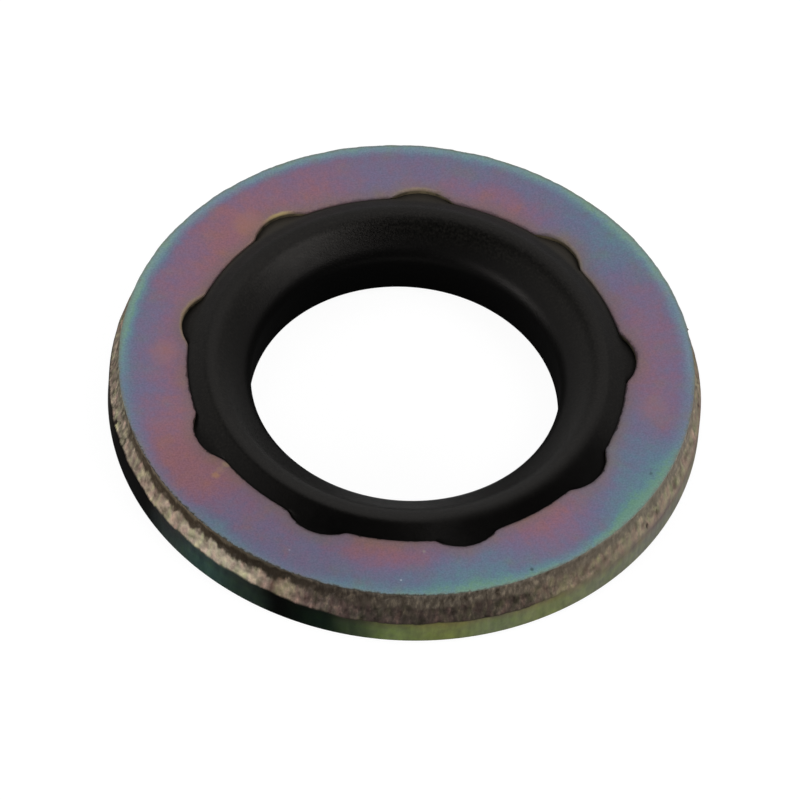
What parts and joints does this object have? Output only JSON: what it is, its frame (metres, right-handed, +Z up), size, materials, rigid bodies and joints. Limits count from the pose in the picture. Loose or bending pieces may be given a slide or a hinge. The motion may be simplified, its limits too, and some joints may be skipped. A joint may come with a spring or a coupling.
{
  "type": "bonded sealing washer",
  "caption": "Flat blanked steel ring with a moulded rubber sealing lip bonded into its scalloped bore, standing proud of both faces to seal a joint.",
  "frame": {"origin": "centre of the circle on which the lower sealing bead touches the surface", "axes": "+Z up the bore, towards the funnelled side; +X through the middle of one notch"},
  "size_m": [0.023, 0.023, 0.0031],
  "materials": {
    "passivated_steel": "zinc plated and iridescent passivated, violet to teal, with a torn, darker break on the rim",
    "seal_rubber": "black moulded rubber, matt with a soft sheen"
  },
  "bodies": {
    "root": {"steel_ring": "passivated_steel", "rubber_seal": "seal_rubber"}
  },
  "joints": []
}
